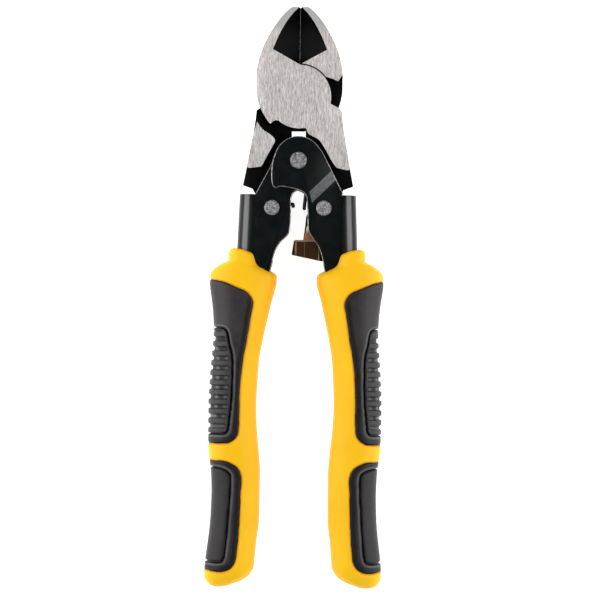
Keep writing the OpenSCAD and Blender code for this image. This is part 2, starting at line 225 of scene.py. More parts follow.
def tube(path, radius, sides=20):
    """A closed round wire along a path of 3-D points."""
    p = np.array(path, float)
    tangent = np.gradient(p, axis=0)
    tangent /= np.linalg.norm(tangent, axis=1)[:, None]
    normal = np.cross(tangent[0], (0.3, 0.2, 0.9))
    bm = bmesh.new()
    rings = []
    for q, t in zip(p, tangent):
        normal = normal - t * np.dot(normal, t)
        normal /= np.linalg.norm(normal)
        side = np.cross(t, normal)
        rings.append([bm.verts.new(q + radius * (math.cos(a) * normal + math.sin(a) * side))
                      for a in np.linspace(0, 2 * math.pi, sides, endpoint=False)])
    return close_round(bm, rings)


def turned(bore, radius, low, high, wide=0.15, tall=0.15):
    """Profile of a pin or ring with chamfers."""
    profile = [(bore, low), (radius - wide, low), (radius, low + tall), (radius, high - tall),
               (radius - wide, high), (bore, high)]
    return profile + [(bore, low)] if bore else profile


def mirrored(bm, axis):
    """The mesh's mirror image along one axis."""
    for v in bm.verts:
        v.co[axis] = -v.co[axis]
    bmesh.ops.reverse_faces(bm, faces=bm.faces)
    return bm


def cut_faces(bm, at, across):
    """Adds edges where a plane crosses the mesh."""
    bmesh.ops.bisect_plane(bm, geom=bm.verts[:] + bm.edges[:] + bm.faces[:], dist=1e-5,
                           plane_co=at, plane_no=across)


def soften(bm, width, segments=2, slot=0, angle=32, keep=None, clamp=True):
    """Rounds the sharp edges and gives the rounding a material slot."""
    bm.normal_update()
    edges = [e for e in bm.edges if len(e.link_faces) == 2
             and e.calc_face_angle(0) > math.radians(angle)
             and (keep is None or keep((e.verts[0].co + e.verts[1].co) / 2))]
    bmesh.ops.bevel(bm, geom=edges, offset=width, offset_type="OFFSET", segments=segments, profile=0.5,
                    affect="EDGES", clamp_overlap=clamp, material=slot)
    return bm


def add_object(name, data):
    """A new object in the scene."""
    obj = bpy.data.objects.new(name, data)
    bpy.context.scene.collection.objects.link(obj)
    return obj


def to_object(name, *parts):
    """One object, in metres, from bmeshes in millimetres about the mid-plane."""
    mesh = bpy.data.meshes.new(name)
    whole = bmesh.new()
    for bm in parts:
        piece = bpy.data.meshes.new("part")
        bm.to_mesh(piece)
        bm.free()
        whole.from_mesh(piece)
        bpy.data.meshes.remove(piece)
    for v in whole.verts:
        v.co = Vector((v.co.x, v.co.y, v.co.z + MID)) * MM
    for f in whole.faces:
        f.smooth = True
    whole.to_mesh(mesh)
    whole.free()
    mesh.set_sharp_from_angle(angle=math.radians(35))
    return add_object(name, mesh)


def combine(base, others, how):
    """Boolean of bmeshes: UNION or DIFFERENCE of base with each of the others."""
    def link(bm):
        """A working object made from a bmesh."""
        mesh = bpy.data.meshes.new("work")
        bm.to_mesh(mesh)
        bm.free()
        return add_object("work", mesh)
    obj = link(base)
    tools = [link(bm) for bm in others]
    for tool in tools:
        mod = obj.modifiers.new("cut", "BOOLEAN")
        mod.operation = how
        mod.solver = "EXACT"
        mod.object = tool
    bpy.context.view_layer.update()
    result = bpy.data.meshes.new_from_object(obj.evaluated_get(bpy.context.evaluated_depsgraph_get()))
    bm = bmesh.new()
    bm.from_mesh(result)
    for used in [obj, *tools]:
        mesh = used.data
        bpy.data.objects.remove(used)
        bpy.data.meshes.remove(mesh)
    bpy.data.meshes.remove(result)
    bmesh.ops.remove_doubles(bm, verts=bm.verts, dist=1e-4)
    bmesh.ops.dissolve_limit(bm, angle_limit=math.radians(0.4), verts=bm.verts, edges=bm.edges)
    return bm


def finish_piece(obj, body, replaced, materials):
    """Gives a piece its materials and body, and hides the CAD nodes it replaces."""
    for m in materials:
        obj.data.materials.append(m)
    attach(obj, body)
    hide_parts(*replaced)


# ---- materials

class Nodes:
    """Short forms for building a procedural material."""

    def __init__(self, name):
        """An empty material of this name."""
        self.material = bpy.data.materials.new(name)
        self.material.use_nodes = True
        self.tree = self.material.node_tree
        self.shader = self.tree.nodes["Principled BSDF"]
        self.place = self.new("ShaderNodeTexCoord").outputs["Object"]

    def new(self, kind, **settings):
        node = self.tree.nodes.new(kind)
        for key, value in settings.items():
            setattr(node, key, value)
        return node

    def link(self, source, target):
        self.tree.links.new(source, target)

    def noise(self, scale, detail=3, rough=0.5, stretch=(1, 1, 1)):
        """Noise in the piece's own space, stretched along its axes."""
        mapping = self.new("ShaderNodeMapping")
        mapping.inputs["Scale"].default_value = stretch
        self.link(self.place, mapping.inputs["Vector"])
        node = self.new("ShaderNodeTexNoise")
        node.inputs["Scale"].default_value = scale
        node.inputs["Detail"].default_value = detail
        node.inputs["Roughness"].default_value = rough
        self.link(mapping.outputs["Vector"], node.inputs["Vector"])
        return node.outputs["Fac"]

    def range(self, value, low, high, to_low, to_high):
        """A value mapped from one range to another and held at its ends."""
        node = self.new("ShaderNodeMapRange")
        ends = {"From Min": low, "From Max": high, "To Min": to_low, "To Max": to_high}
        for key, number in ends.items():
            node.inputs[key].default_value = number
        self.link(value, node.inputs["Value"])
        return node.outputs["Result"]

    def band(self, value, low, high, soft):
        """One between two values, fading out over a soft distance."""
        up = self.range(value, low - soft, low, 0, 1)
        return self.times(up, self.range(value, high, high + soft, 1, 0))

    def axis(self, name):
        """One coordinate of the piece's own space, in metres."""
        node = self.new("ShaderNodeSeparateXYZ")
        self.link(self.place, node.inputs["Vector"])
        return node.outputs[name]

    def mask(self, name):
        """A number stored on the mesh's points."""
        return self.new("ShaderNodeAttribute", attribute_name=name).outputs["Fac"]

    def mix(self, factor, a, b):
        """Colour a turning to colour b."""
        node = self.new("ShaderNodeMix", data_type="RGBA")
        self.link(factor, node.inputs[0])
        for socket, value in ((node.inputs[6], a), (node.inputs[7], b)):
            if isinstance(value, tuple):
                socket.default_value = (*value, 1)
            else:
                self.link(value, socket)
        return node.outputs[2]

    def math(self, how, a, b):
        """One sum on two values or sockets."""
        node = self.new("ShaderNodeMath", operation=how)
        for socket, value in zip(node.inputs, (a, b)):
            if isinstance(value, (int, float)):
                socket.default_value = value
            else:
                self.link(value, socket)
        return node.outputs[0]

    def times(self, a, b):
        """Product of two values or sockets."""
        return self.math("MULTIPLY", a, b)

    def bump(self, height, strength, distance):
        node = self.new("ShaderNodeBump")
        node.inputs["Strength"].default_value = strength
        node.inputs["Distance"].default_value = distance
        self.link(height, node.inputs["Height"])
        self.link(node.outputs["Normal"], self.shader.inputs["Normal"])

    def set(self, **values):
        """Sets the shader's sockets and gives the material."""
        for key, value in values.items():
            socket = self.shader.inputs[key.replace("_", " ")]
            if isinstance(value, (int, float)):
                socket.default_value = value
            elif isinstance(value, tuple):
                socket.default_value = (*value, 1)
            else:
                self.link(value, socket)
        return self.material


def ground_steel():
    """Bright steel ground along the tool, with dark scratches and a smoother tip."""
    n = Nodes("ground_steel")
    coarse = n.noise(1, 3, 0.65, (2900, 230, 300))
    fine = n.noise(1, 2, 0.6, (6500, 600, 300))
    nick = n.noise(1, 4, 0.7, (2600, 520, 300))
    cloud = n.noise(260, 3)
    streaks = n.math("ADD", n.times(coarse, 0.4), n.times(fine, 0.6))
    tone = n.mix(n.range(streaks, 0.38, 0.60, 0, 1), (0.38, 0.355, 0.345), (0.92, 0.875, 0.855))
    tone = n.mix(n.range(cloud, 0.40, 0.62, 0, 0.35), tone, (0.66, 0.61, 0.60))
    tone = n.mix(n.range(nick, 0.60, 0.70, 0, 0.75), tone, (0.16, 0.15, 0.145))
    tip = n.range(n.axis("Y"), 0.0945, 0.0985, 0, 0.85)
    tone = n.mix(tip, tone, (0.52, 0.515, 0.515))
    n.bump(streaks, 0.35, 0.00006)
    return n.set(Base_Color=tone, Metallic=0.55, Roughness=n.range(fine, 0.3, 0.7, 0.42, 0.6))


def mottled(name, cloud_noise, spread, tones, rough, bump, **values):
    """Metal whose tone and roughness drift together."""
    n = Nodes(name)
    cloud = n.noise(*cloud_noise)
    colour = n.mix(n.range(cloud, *spread), *tones)
    bump_noise, strength, depth = bump
    n.bump(n.noise(*bump_noise), strength, depth)
    return n.set(Base_Color=colour, Roughness=n.range(cloud, 0.3, 0.7, *rough), **values)


def black_oxide(name, tone, shine, gloss):
    """Blackened sheet steel with a faint mottle."""
    lighter = tuple(c * 1.7 + 0.001 for c in tone)
    return mottled(name, (300, 4), (0.4, 0.75, 0, 0.5), (tone, lighter), (shine - 0.04, shine + 0.06),
                   ((2600, 2), 0.1, 0.00003), Specular_IOR_Level=gloss)


def worn_edge_and_highlight(name, dark, bright, metal):
    """Edge where the blackening has rubbed through here and there; its brighter tone is also a painted
    highlight.
    """
    return mottled(name, (900, 4, 0.6), (0.35, 0.65, 0, 1), (dark, bright), (0.45, 0.3),
                   ((3000, 2), 0.15, 0.00003), Metallic=metal)


def rivet_steel():
    """Dull rivet head with a cross-hatched face."""
    n = Nodes("rivet_steel")
    one = n.noise(1, 3, 0.6, (2600, 700, 500))
    two = n.noise(1, 3, 0.6, (700, 2600, 500))
    spots = n.noise(1500, 4, 0.6)
    weave = n.times(one, two)
    colour = n.mix(n.range(weave, 0.18, 0.32, 0, 1), (0.13, 0.127, 0.127), (0.52, 0.51, 0.51))
    colour = n.mix(n.range(spots, 0.50, 0.66, 0, 0.6), colour, (0.10, 0.10, 0.10))
    n.bump(weave, 0.5, 0.00012)
    return n.set(Base_Color=colour, Metallic=0.5, Roughness=n.range(spots, 0.3, 0.7, 0.42, 0.6))


def plain_metal(name, dark, bright, rough):
    """Turned or drawn steel with light marks."""
    marks = (1, 3, 0.6, (600, 600, 5000))
    return mottled(name, marks, (0.35, 0.65, 0, 1), (dark, bright), (rough, rough + 0.15),
                   (marks, 0.2, 0.00004), Metallic=0.8)


def yellow_zinc():
    """Yellow-passivated zinc: brown on the tab and copper on the arm, with painted highlights along the
    folds and the upper arm and painted shade at the tab's ends.
    """
    n = Nodes("yellow_zinc")
    drift = n.noise(140, 2, 0.5, (1.6, 0.4, 1))
    fine = n.noise(1500, 3)
    x, y = n.axis("X"), n.axis("Y")
    tab = n.range(y, 0.0200, 0.0206, 1, 0)
    # Pale lines along the fold, the crease and the ridge are painted highlights.
    fold_highlight = n.times(n.band(y, 0.0203, 0.0206, 0.00025), 0.8)
    crease = n.times(n.band(x, 0.00255, 0.00265, 0.0002), n.times(tab, 0.5))
    ridge_highlight = n.times(n.band(x, 0.0077, 0.0079, 0.0003), tab)
    ridge_highlight = n.times(ridge_highlight, n.range(y, 0.0135, 0.0195, 0.9, 0.15))
    # Dark right end of the tab: painted shade beside the plate.
    right_end_shade = n.times(n.range(x, 0.0081, 0.0085, 0, 0.8), tab)
    layers = ((n.range(y, 0.0204, 0.0209, 0, 1), (0.62, 0.25, 0.11)),  # copper arm
              (n.range(y, 0.0232, 0.0248, 0, 0.9), (0.92, 0.84, 0.76)),  # painted highlight on the upper arm
              (fold_highlight, (0.60, 0.50, 0.36)),
              (crease, (0.42, 0.28, 0.20)),
              (ridge_highlight, (0.80, 0.66, 0.46)),
              (right_end_shade, (0.05, 0.028, 0.016)),
              (n.range(x, -0.0012, -0.0006, 0.85, 0), (0.03, 0.018, 0.012)),  # painted shade on the curled left end
              (n.range(fine, 0.55, 0.75, 0, 0.15), (0.16, 0.07, 0.04)))  # fine specks
    colour = n.mix(n.range(drift, 0.4, 0.6, 0, 1), (0.105, 0.044, 0.022), (0.070, 0.042, 0.014))
    for amount, tint in layers:
        colour = n.mix(amount, colour, tint)
    n.bump(fine, 0.04, 0.00002)
    return n.set(Base_Color=colour, Metallic=0.85, Roughness=n.range(fine, 0.3, 0.7, 0.3, 0.4))


def yellow_plastic():
    """Satin plastic, with painted orange shade where it rolls down to the pads and along its inner side."""
    n = Nodes("yellow_plastic")
    cloud = n.noise(60, 3)
    pores = n.noise(4200, 3, 0.6)
    colour = n.mix(n.range(cloud, 0.35, 0.65, 0, 1), (0.97, 0.535, 0.008), (1.0, 0.575, 0.011))
    colour = n.mix(n.range(pores, 0.6, 0.8, 0, 0.12), colour, (0.75, 0.34, 0.006))
    # Painted shade from the mesh's mask turns the yellow orange.
    colour = n.mix(n.mask("painted_shade"), colour, (0.62, 0.19, 0.006))
    n.bump(pores, 0.25, 0.00003)
    return n.set(Base_Color=colour, Roughness=n.range(pores, 0.3, 0.7, 0.44, 0.56), Specular_IOR_Level=0.16)


def rubber(name, dark, light, grain, gloss):
    """Black moulding with a pebbled grain, with painted shade in its grooves and painted highlights from
    the mesh's masks.
    """
    n = Nodes(name)
    pebble = n.noise(3600, 3, 0.6)
    scuff = n.noise(240, 4, 0.6)
    colour = n.mix(n.range(scuff, 0.35, 0.7, 0, 1), dark, light)
    # Painted shade and painted highlight from the mesh's masks.
    colour = n.mix(n.mask("painted_shade"), colour, (0.004, 0.0035, 0.004))
    colour = n.mix(n.mask("painted_highlight"), colour, (0.21, 0.205, 0.21))
    n.bump(pebble, grain, 0.00005)
    return n.set(Base_Color=colour, Roughness=n.range(scuff, 0.3, 0.7, 0.42, 0.56),
                 Specular_IOR_Level=gloss)


def oxide_bend_painted_reflection():
    """Blackened steel with painted reflection bands along the channel's bend and outer rim."""
    n = Nodes("oxide_bend_painted_reflection")
    side = n.math("ABSOLUTE", n.axis("X"), 0)
    lean = n.times(n.axis("Y"), SPINE_LEAN)
    flat = n.math("SUBTRACT", BACK_X * MM + SPINE_TOP * MM * SPINE_LEAN, lean)
    bend = n.math("DIVIDE", n.math("SUBTRACT", side, flat), PLATE_OUT * MM)
    wobble = n.times(n.math("SUBTRACT", n.noise(1, 3, 0.5, (400, 60, 300)), 0.5), 0.1)
    bend = n.math("ADD", bend, wobble)
    # Painted reflection: a grey band along the bend and a grey rim at the outer edge.
    band = n.times(n.range(bend, 0.28, 0.40, 0, 1), n.range(bend, 0.60, 0.70, 1, 0))
    rim = n.range(bend, 0.86, 0.94, 0, 0.4)
    cloud = n.noise(1, 3, 0.5, (900, 160, 900))
    grey = n.mix(cloud, (0.14, 0.138, 0.142), (0.21, 0.208, 0.212))
    colour = n.mix(n.math("MAXIMUM", band, rim), (0.004, 0.0045, 0.005), grey)
    n.bump(n.noise(2600, 2), 0.12, 0.00003)
    return n.set(Base_Color=colour, Roughness=n.range(cloud, 0.3, 0.7, 0.3, 0.42), Specular_IOR_Level=0.15)


def joggle_painted_highlight():
    """Mottled grey painted highlight on the ramp between the right plates' two levels."""
    return mottled("joggle_painted_highlight", (900, 4, 0.65), (0.35, 0.65, 0, 1),
                   ((0.055, 0.062, 0.064), (0.115, 0.125, 0.128)), (0.4, 0.55), ((2600, 3), 0.3, 0.00004))


GROUND = ground_steel()
OXIDE = black_oxide("black_oxide", (0.0030, 0.0044, 0.0046), 0.32, 0.14)
RECESS = black_oxide("recess_black", (0.0022, 0.0021, 0.0022), 0.55, 0.07)
# The plates' rounded edges: partly real wear, partly a painted highlight.
EDGE = worn_edge_and_highlight("oxide_edge_wear_and_highlight", (0.10, 0.10, 0.10), (0.42, 0.42, 0.41), 0.6)
BEND_REFLECTION = oxide_bend_painted_reflection()
JOGGLE_HIGHLIGHT = joggle_painted_highlight()
# The jaws' rounded edges: partly real wear, partly a painted highlight.
JAW_EDGE = worn_edge_and_highlight("jaw_edge_wear_and_highlight", (0.03, 0.029, 0.028), (0.14, 0.135, 0.13), 0.4)
RIVET = rivet_steel()
SPRING = plain_metal("spring_black", (0.01, 0.01, 0.011), (0.045, 0.045, 0.048), 0.3)
SPACER = plain_metal("spacer_grey", (0.10, 0.10, 0.105), (0.28, 0.28, 0.285), 0.35)
ZINC = yellow_zinc()
SHADED_ZINC = plain_metal("yellow_zinc_painted_shade", (0.02, 0.012, 0.008), (0.05, 0.03, 0.018), 0.4)
YELLOW = yellow_plastic()
PAD = rubber("pad_rubber", (0.023, 0.0195, 0.022), (0.036, 0.031, 0.034), 0.3, 0.27)
PANEL = rubber("panel_rubber", (0.016, 0.0138, 0.015), (0.026, 0.023, 0.0245), 0.3, 0.22)


# ---- jaws (drawn as the front jaw)

HEAD_SIDE = [(-EDGE_X, TIP_Y)] + bezier(
    [(-3, TIP_Y), (-7.5, TIP_Y - 3), (-HEAD_HALF, 89.5), (-HEAD_HALF, 79)], 40) + [(-HEAD_HALF, 79)]
TAIL_SIDE = spline([(15.3, 67.3), (15.8, 62.4), (16.7, 56.8), (17.6, 51.8), (18.6, 46.4)], 1)
PAD_INNER = [(17.6, 45.9)] + spline([(14.4, 46.6), (13.5, 47), (11.9, 49.2), (10.3, 52.1), (8.5, 55),
                                     (7.1, 56.8), (4.9, 58), (3.4, 58.9), (2.8, 60.3)])
BOSS = (spline([(15, 62.9), (14.3, 61.8), (12.8, 60), (11, 58.9), (9.2, 57.5), (8.5, 56.1),
                (9.5, 53.9), (10.9, 51.4), (12.3, 48.7), (13.2, 47.1), (14.6, 46.7), (17.4, 46.3)])
        + [(18.6, 46.6), (17.6, 51.8), (16.7, 56.8)])


def hollow_width(y):
    """Half width of the hollow at y, where it meets the jaw's face."""
    if y < HOLLOW_KNEE:
        return HOLLOW_WIDE * (y - HOLLOW_FOOT) / (HOLLOW_KNEE - HOLLOW_FOOT)
    knee = (-HOLLOW_WIDE, HOLLOW_KNEE)
    rim = np.array(bezier([(-0.3, TIP_Y + 0.1), (-4.6, 100.6), (-7.7, 94.6), knee], 40) + [knee])
    return float(np.interp(y, rim[::-1, 1], -rim[::-1, 0]))


def hollow(sign):
    """Cutter for the hollow-ground V beside the cutting edge."""
    across = 14
    past_edge = 0.6
    edge_z = 0.22
    land = 0.15  # flat strip beside the edge
    bm = bmesh.new()
    rings = []
    below_knee = np.linspace(HOLLOW_FOOT + 0.15, HOLLOW_KNEE, 14)
    above_knee = np.linspace(HOLLOW_KNEE + 0.4, TIP_Y + 0.6, 34)
    for y in [*below_knee, *above_knee]:
        width = max(hollow_width(min(y, TIP_Y)), 0.25)
        full = width if y >= HOLLOW_KNEE else HOLLOW_WIDE
        floor, roof = [], []
        for k in range(across + 1):
            x = past_edge - (width + past_edge) * (k / across)
            rise = max(0.0, (-x - land) / (full - land))
            z = edge_z + (JAW_T - edge_z) * (0.82 * rise + 0.18 * rise ** 3)
            floor.append(bm.verts.new((x, y, sign * z)))
            roof.append(bm.verts.new((x, y, sign * (JAW_T + 1.5))))
        rings.append(floor + roof[::-1])
    return close_sheet(bm, rings)


def jaw_solid():
    """The forged jaw: lap layer, head block, tail, boss and hollows."""
    web_half = 2.2
    lower_corner = (bezier([(-HEAD_HALF, 74.8), (-15.3, 70.2), (-13.4, 66), (-10.4, 62.2)], 16)
                    + spline([(-10.4, 62.2), (-8.9, 63.3), (-7.4, 63.5), (-5.6, 62.9), (-3.5, 61.8),
                              (-1.7, 61.25), (0, 60.9)]))
    front = HEAD_SIDE + lower_corner + [(0, 70), (0, JAW[1]), (-EDGE_X, HOLLOW_FOOT)]
    disc = arc(JAW, DISC_R, 0, 360, 120)[:-1]
    tail_face = [(11, 69.8), (13.7, 68.4)] + TAIL_SIDE + PAD_INNER + [(2.2, 61), (0, 66)]
    bridge = filleted([(-2.2, 62), (-2.2, 59.9), (2.75, 59.9), (2.75, 62)], 0.5)
    block = (HEAD_SIDE + [(0.1 - HEAD_HALF, 80.2), (-13.8, 77.8), (-11.7, 78.7), (-9, 79.5)]
             + arc(JAW, DISC_R + 0.5, 141, 90.8, 30))
    web = ([(15.3, 65.5)] + TAIL_SIDE + [(19.8, 40.2), (16.4, 39)] + arc(LINK, 4.6, 20, -200, 30)
           + arc(HUB, 6.2, -28, 62, 20) + [(2.5, 57), (2.5, 60.4), (8, 66)])
    parts = [prism(disc, LAP, JAW_T), prism(tail_face, LAP, JAW_T), prism(block, -JAW_T, LAP),
             prism(bridge, LAP, web_half)]
    solid = combine(prism(front, LAP, JAW_T), parts, "UNION")
    back_of_web = prism(arc(JAW, DISC_R + 4.2, 0, 360, 80)[:-1], -9, LAP)
    web_solid = combine(prism(web, -web_half, web_half), [back_of_web], "DIFFERENCE")
    solid = combine(solid, [web_solid, prism(BOSS, -JAW_T, -1)], "UNION")
    return combine(solid, [hollow(1), hollow(-1)], "DIFFERENCE")


def dress_jaw(obj):
    """Only the ground faces get the bright finish."""
    face_z = JAW_T - 0.02
    for f in obj.data.polygons:
        z = f.center.z / MM - MID
        if abs(z) > face_z and abs(f.normal.z) > 0.98:
            f.material_index = 0
        elif f.material_index == 0:
            f.material_index = 1


def jaws():
    """Both jaws, the rear one turned over, and their pivot pin."""
    for node in ("front_jaw", "rear_jaw"):
        bm = jaw_solid()
        soften(bm, 0.16, slot=2, angle=38, keep=lambda co: abs(co.x) > 0.3 or co.y < HOLLOW_FOOT)
        if node == "rear_jaw":
            for v in bm.verts:
                v.co = Vector((-v.co.x, v.co.y, -v.co.z))
        obj = to_object(f"{node}_forging", bm)
        finish_piece(obj, node, [node], [GROUND, RECESS, JAW_EDGE])
        dress_jaw(obj)
    top = JAW_T - 0.01
    pin = to_object("jaw_pin", lathe(turned(0, half_size("jaw_rivet", 0), -top, top), 64, JAW))
    finish_piece(pin, "front_jaw", ["jaw_rivet"], [GROUND])


# ---- handle channels (drawn on the right)

LEFT_INNER = spline([(2.0, 37.2), (2.35, 36), (2.45, 34.5), (2.4, 30), (2.6, 25.4), (3.15, 23),
                     (4.4, 21.5), (5.9, 20.1), (7.3, 17.9), (8.2, 15.75), (8.65, 13.6), (9.0, 11.4),
                     (10.2, 7), (13.5, -5)], 0.8) + [(17.5, SHEET_END)]
RIGHT_INNER = spline([(3.2, 35.6), (3.45, 32), (3.55, 28.6), (3.7, 25.4), (4.1, 23.6), (5.7, 21),
                      (7.6, 18.3), (8.75, 15.3), (9.35, 12.5), (10.4, 7),
                      (13.5, -5)], 0.8) + [(17.5, SHEET_END)]


def back_line(y):
    """Where the flat plate turns into the channel's round back."""
    return BACK_X + (SPINE_TOP - y) * SPINE_LEAN


def on_back(co):
    """Whether a point lies where the flat plate meets the round back."""
    return abs(abs(co.x) - back_line(co.y)) < 0.05 and co.y < SPINE_TOP - 0.2


def round_back():
    """The channel's round back, a bent sheet along the leg."""
    bm = bmesh.new()
    rings = []
    turn = np.radians(np.linspace(90, -90, 25))
    sides = [(PLATE_OUT, a) for a in turn] + [(PLATE_IN, a) for a in turn[::-1]]
    for y in (SPINE_TOP, 30, 20, 10, 0, SHEET_END):
        rings.append([bm.verts.new((back_line(y) + r * math.cos(a), y, r * math.sin(a))) for r, a in sides])
    close_sheet(bm, rings)
    for f in bm.faces:
        # The round back takes the material with painted reflection bands.
        f.material_index = 2
    return soften(bm, 0.22, slot=2, angle=50, keep=lambda co: co.y > SPINE_TOP - 0.5)


def soften_plate(bm, angle):
    """Rounded edges round a plate, worn and painted with a highlight, but not where it meets the round
    back.
    """
    return soften(bm, 0.28, 3, slot=1, angle=angle, keep=lambda co: not on_back(co), clamp=False)


def stop_ring(sign):
    """The raised ring round one end of the stop pin."""
    inner, outer = 0.9, 1.4
    foot = sign * (PLATE_OUT - 0.2)
    crest = sign * (PLATE_OUT + 0.012)
    return lathe([(inner, foot), (inner, crest), (1.25, crest), (outer, sign * (PLATE_OUT - 0.02)),
                  (outer, foot), (inner, foot)], 40, STOP)


def left_channel():
    """The left handle's sheet, with the stop pin's rings."""
    top = ([(BACK_X, SPINE_TOP), (15, 37.6), (12.7, 42), (10.6, 46), (8.6, 50.3)]
           + arc(HUB, 8.2, 30, 215, 50)
           + spline([(-5, 42.6), (-2.6, 40.4), (0, 38.8), (1.3, 38.1), (2.0, 37.2)]))
    outline = top + LEFT_INNER[1:] + [(back_line(SHEET_END), SHEET_END)]
    front = soften_plate(prism(outline, PLATE_IN, PLATE_OUT), 32)
    back = mirrored(soften_plate(prism(outline, PLATE_IN, PLATE_OUT), 32), 2)
    parts = [mirrored(part, 0) for part in (front, back, round_back())]
    obj = to_object("left_channel_sheet", *parts, stop_ring(1), stop_ring(-1))
    finish_piece(obj, "left_handle", ["left_channel"], [OXIDE, EDGE, BEND_REFLECTION])


JOG_A = np.array([4.55, 36.0])  # the joggle's middle line runs from here
JOG_B = np.array([12.4, 43.8])  # to here
JOG_HALF = 1.7
HIGHLIGHT_END = Vector((0.97, 0.24, 0))  # across the ramp's lower end, where its painted highlight starts


def joggle(bm):
    """Lifts a plate's hub side over the left channel, up a straight ramp."""
    along = (JOG_B - JOG_A) / np.linalg.norm(JOG_B - JOG_A)
    across = np.array([-along[1], along[0]])
    for d in (-JOG_HALF, JOG_HALF):
        at = JOG_A + across * d
        cut_faces(bm, (at[0], at[1], 0), (across[0], across[1], 0))
    cut_faces(bm, (JOG_A[0], JOG_A[1], 0), HIGHLIGHT_END)
    lift = HUB_OUT - PLATE_OUT
    for v in bm.verts:
        d = np.dot(np.array([v.co.x, v.co.y]) - JOG_A, across)
        t = min(1.0, max(0.0, (d + JOG_HALF) / (2 * JOG_HALF)))
        v.co.z += math.copysign(lift * t, v.co.z)
    bm.normal_update()
    for f in bm.faces:
        from_end = f.calc_center_median() - Vector((JOG_A[0], JOG_A[1], 0))
        # Ramp faces past its lower end get the painted highlight.
        if 0.5 < f.normal.z < 0.95 and from_end.dot(HIGHLIGHT_END) > 0:
            f.material_index = 3


def right_plate(outline):
    """One plate of the right channel, with its joggle."""
    bm = prism(outline, PLATE_IN, PLATE_OUT)
    joggle(bm)
    return soften_plate(bm, 40)


def right_channel():
    """The right handle's sheet, outermost at the hub."""
    top = ([(BACK_X, SPINE_TOP), (16.2, 37.6), (14.2, 41.5), (12.2, 45.4), (10.2, 49.3), (8.6, 52.4)]
           + arc(HUB, 8.7, 32, 158, 44)
           + spline([(-9.1, 49.6), (-9.6, 46), (-9.6, 42.4), (-9.1, 39.9)])
           + spline([(-8.0, 39.0), (-6.4, 39.7), (-3.5, 39.4), (-0.6, 38.8), (1.6, 38), (2.7, 36.9),
                     (3.2, 35.6)]))
    outline = top + RIGHT_INNER[1:] + [(back_line(SHEET_END), SHEET_END)]
    parts = [right_plate(outline), mirrored(right_plate(outline), 2), round_back()]
    obj = to_object("right_channel_sheet", *parts)
    finish_piece(obj, "right_handle", ["right_channel"], [OXIDE, EDGE, BEND_REFLECTION, JOGGLE_HIGHLIGHT])


# ---- rivets, pins, spacers, spring

def rivet(name, body, at, shank, head, face, tall, node):
    """A rivet with a low domed head standing on each outer face."""
    top = [(head - 0.02, face), (head, face + tall * 0.25), (head * 0.985, face + tall * 0.55),
           (head * 0.93, face + tall * 0.85), (head * 0.84, face + tall), (0, face + tall)]
    profile = [(r, -z) for r, z in reversed(top)] + [(shank, -face), (shank, face)] + top
    finish_piece(to_object(name, lathe(profile, 64, at)), body, [node], [RIVET])


def rivets():
    """The hub rivet and the two link rivets."""
    rivet("hub_rivet_forged", "hub", HUB, 2.5, half_size("hub_rivet", 0), HUB_OUT + 0.1,
          MID - HUB_OUT - 0.1, "hub_rivet")
    head = half_size("right_link_rivet", 0)
    for side, x in (("left", -LINK[0]), ("right", LINK[0])):
        rivet(f"{side}_link_rivet_forged", f"{side}_handle", (x, LINK[1]), 2, head, PLATE_OUT, 1.3,
              f"{side}_link_rivet")


def pins():
    """The stop pin and the catch pin in the left channel."""
    end = PLATE_OUT + 0.04
    stop = to_object("stop_pin_turned", lathe(turned(0, 0.85, -end, end, 0.1, 0.04), 32, STOP))
    finish_piece(stop, "left_handle", ["stop_pin"], [OXIDE])
    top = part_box("catch_pin")[1].z / MM - MID
    profile = [(0, -PLATE_OUT), (0.85, -PLATE_OUT), (1, -PLATE_OUT + 0.15), (1, top - 0.2), (0.8, top),
               (0, top)]
    catch = to_object("catch_pin_turned", lathe(profile, 32, CATCH))
    finish_piece(catch, "left_handle", ["catch_pin"], [SPACER])


def spacers():
    """The washers in the left channel, and the sleeve inside the spring."""
    thick = 0.7
    left_link = (-LINK[0], LINK[1])
    washers = [lathe(turned(2.0, 4.2, low, low + thick, 0.15, 0.12), 48, left_link) for low in (2.5, -3.2)]
    finish_piece(to_object("left_link_washers_turned", *washers), "left_handle",
                 ["left_link_washers"], [SPACER])
    half = half_size("spring_sleeve", 2)
    sleeve = to_object("spring_sleeve_turned", lathe(turned(2.5, 3.2, -half, half), 48, HUB))
    finish_piece(sleeve, "hub", ["spring_sleeve"], [SPACER])


SPRING_FEET = {-1: (-1.65, 33.6), 1: (2.35, 32.75)}
SPRING_KNEES = {-1: (-3.5, 35.4), 1: (2.85, 37.5)}


def spring_path(side):
    """Middle line of one half: coils from the middle outwards, leg and upturned foot."""
    coil_r, z, bend_r = 4.2, side * 2.1, 0.7
    turns, steps = 2.0, 96
    start_angle = 180 if side < 0 else 0
    path = []
    for k in range(steps + 1):
        f = k / steps
        a = math.radians(start_angle + side * 360 * turns * (1 - f))
        path.append((HUB[0] + coil_r * math.cos(a), HUB[1] + coil_r * math.sin(a), z * f))
    foot = SPRING_FEET[side]
    leg = spline([path[-1][:2], SPRING_KNEES[side], foot], 1)
    path += [(x, y, z) for x, y in leg[1:]]
    for r in np.radians(np.linspace(12, 90, 7)):
        path.append((foot[0], foot[1] - math.sin(r) * bend_r, z + (1 - math.cos(r)) * bend_r))
    for up in np.linspace(z + 1.1, PLATE_OUT + 0.1, 6):
        path.append((foot[0], foot[1] - bend_r, up))
    return path


def return_spring():
    """Torsion spring in two halves, each with half of the coil and one leg."""
    for side, word in ((-1, "left"), (1, "right")):
        obj = to_object(f"{word}_spring_half", tube(spring_path(side), WIRE_R))
        obj.data.materials.append(SPRING)
        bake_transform(obj)
        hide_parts("return_spring")


